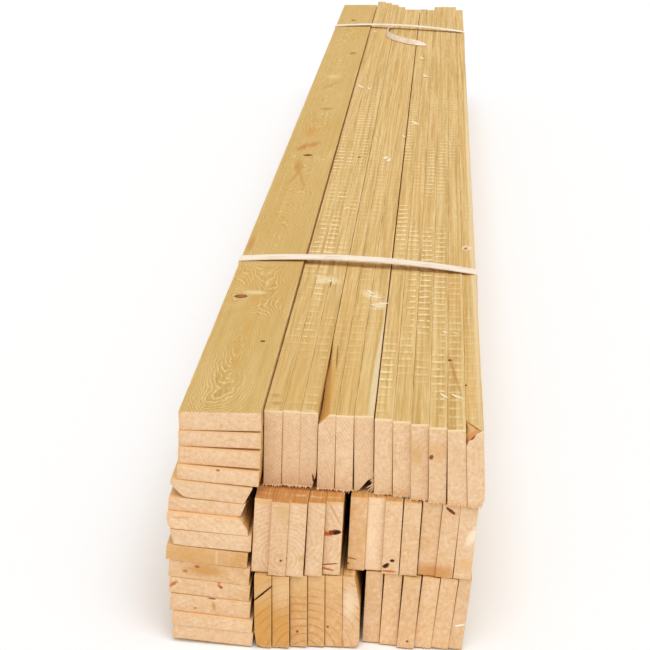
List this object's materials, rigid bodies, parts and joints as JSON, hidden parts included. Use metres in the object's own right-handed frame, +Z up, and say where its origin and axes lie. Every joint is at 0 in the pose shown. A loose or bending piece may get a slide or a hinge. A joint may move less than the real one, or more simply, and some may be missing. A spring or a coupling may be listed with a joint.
{
  "type": "wood lath bundle",
  "caption": "Bundle of rough-sawn softwood lath, a column lying flat beside tiers on edge, held by plastic straps, for plaster work, trellis and stakes.",
  "frame": {"origin": "on the floor under the middle of the bundle's box", "axes": "+X across the bundle from the flat column to the tiers, +Y along the laths away from the near ends, +Z up"},
  "size_m": [0.148, 1.2637, 0.1221],
  "materials": {
    "sawn_wood": "rough-sawn, bare",
    "strap": "embossed polypropylene band"
  },
  "bodies": {
    "root": {"lath_flat_01": "sawn_wood", "lath_flat_02": "sawn_wood", "lath_flat_03": "sawn_wood", "lath_flat_04": "sawn_wood", "lath_flat_05": "sawn_wood", "lath_flat_06": "sawn_wood", "lath_flat_07": "sawn_wood", "lath_flat_08": "sawn_wood", "lath_flat_09": "sawn_wood", "lath_flat_10": "sawn_wood", "lath_flat_11": "sawn_wood", "lath_flat_12": "sawn_wood", "lath_flat_13": "sawn_wood", "lath_flat_14": "sawn_wood", "lath_top_01": "sawn_wood", "lath_top_02": "sawn_wood", "lath_top_03": "sawn_wood", "lath_top_04": "sawn_wood", "lath_top_05": "sawn_wood", "lath_top_06": "sawn_wood", "lath_top_07": "sawn_wood", "lath_top_08": "sawn_wood", "lath_top_09": "sawn_wood", "lath_top_10": "sawn_wood", "lath_top_11": "sawn_wood", "lath_top_12": "sawn_wood", "lath_mid_01": "sawn_wood", "lath_mid_02": "sawn_wood", "lath_mid_03": "sawn_wood", "lath_mid_04": "sawn_wood", "lath_mid_05": "sawn_wood", "lath_mid_06": "sawn_wood", "lath_mid_07": "sawn_wood", "lath_mid_08": "sawn_wood", "lath_mid_09": "sawn_wood", "lath_mid_10": "sawn_wood", "lath_mid_11": "sawn_wood", "lath_mid_12": "sawn_wood", "lath_bottom_01": "sawn_wood", "lath_bottom_02": "sawn_wood", "lath_bottom_03": "sawn_wood", "lath_bottom_04": "sawn_wood", "lath_bottom_05": "sawn_wood", "lath_bottom_06": "sawn_wood", "lath_bottom_07": "sawn_wood", "lath_bottom_08": "sawn_wood", "lath_bottom_09": "sawn_wood", "lath_bottom_10": "sawn_wood", "lath_bottom_11": "sawn_wood", "lath_bottom_12": "sawn_wood", "strap_front": "strap", "strap_back": "strap"}
  },
  "joints": []
}
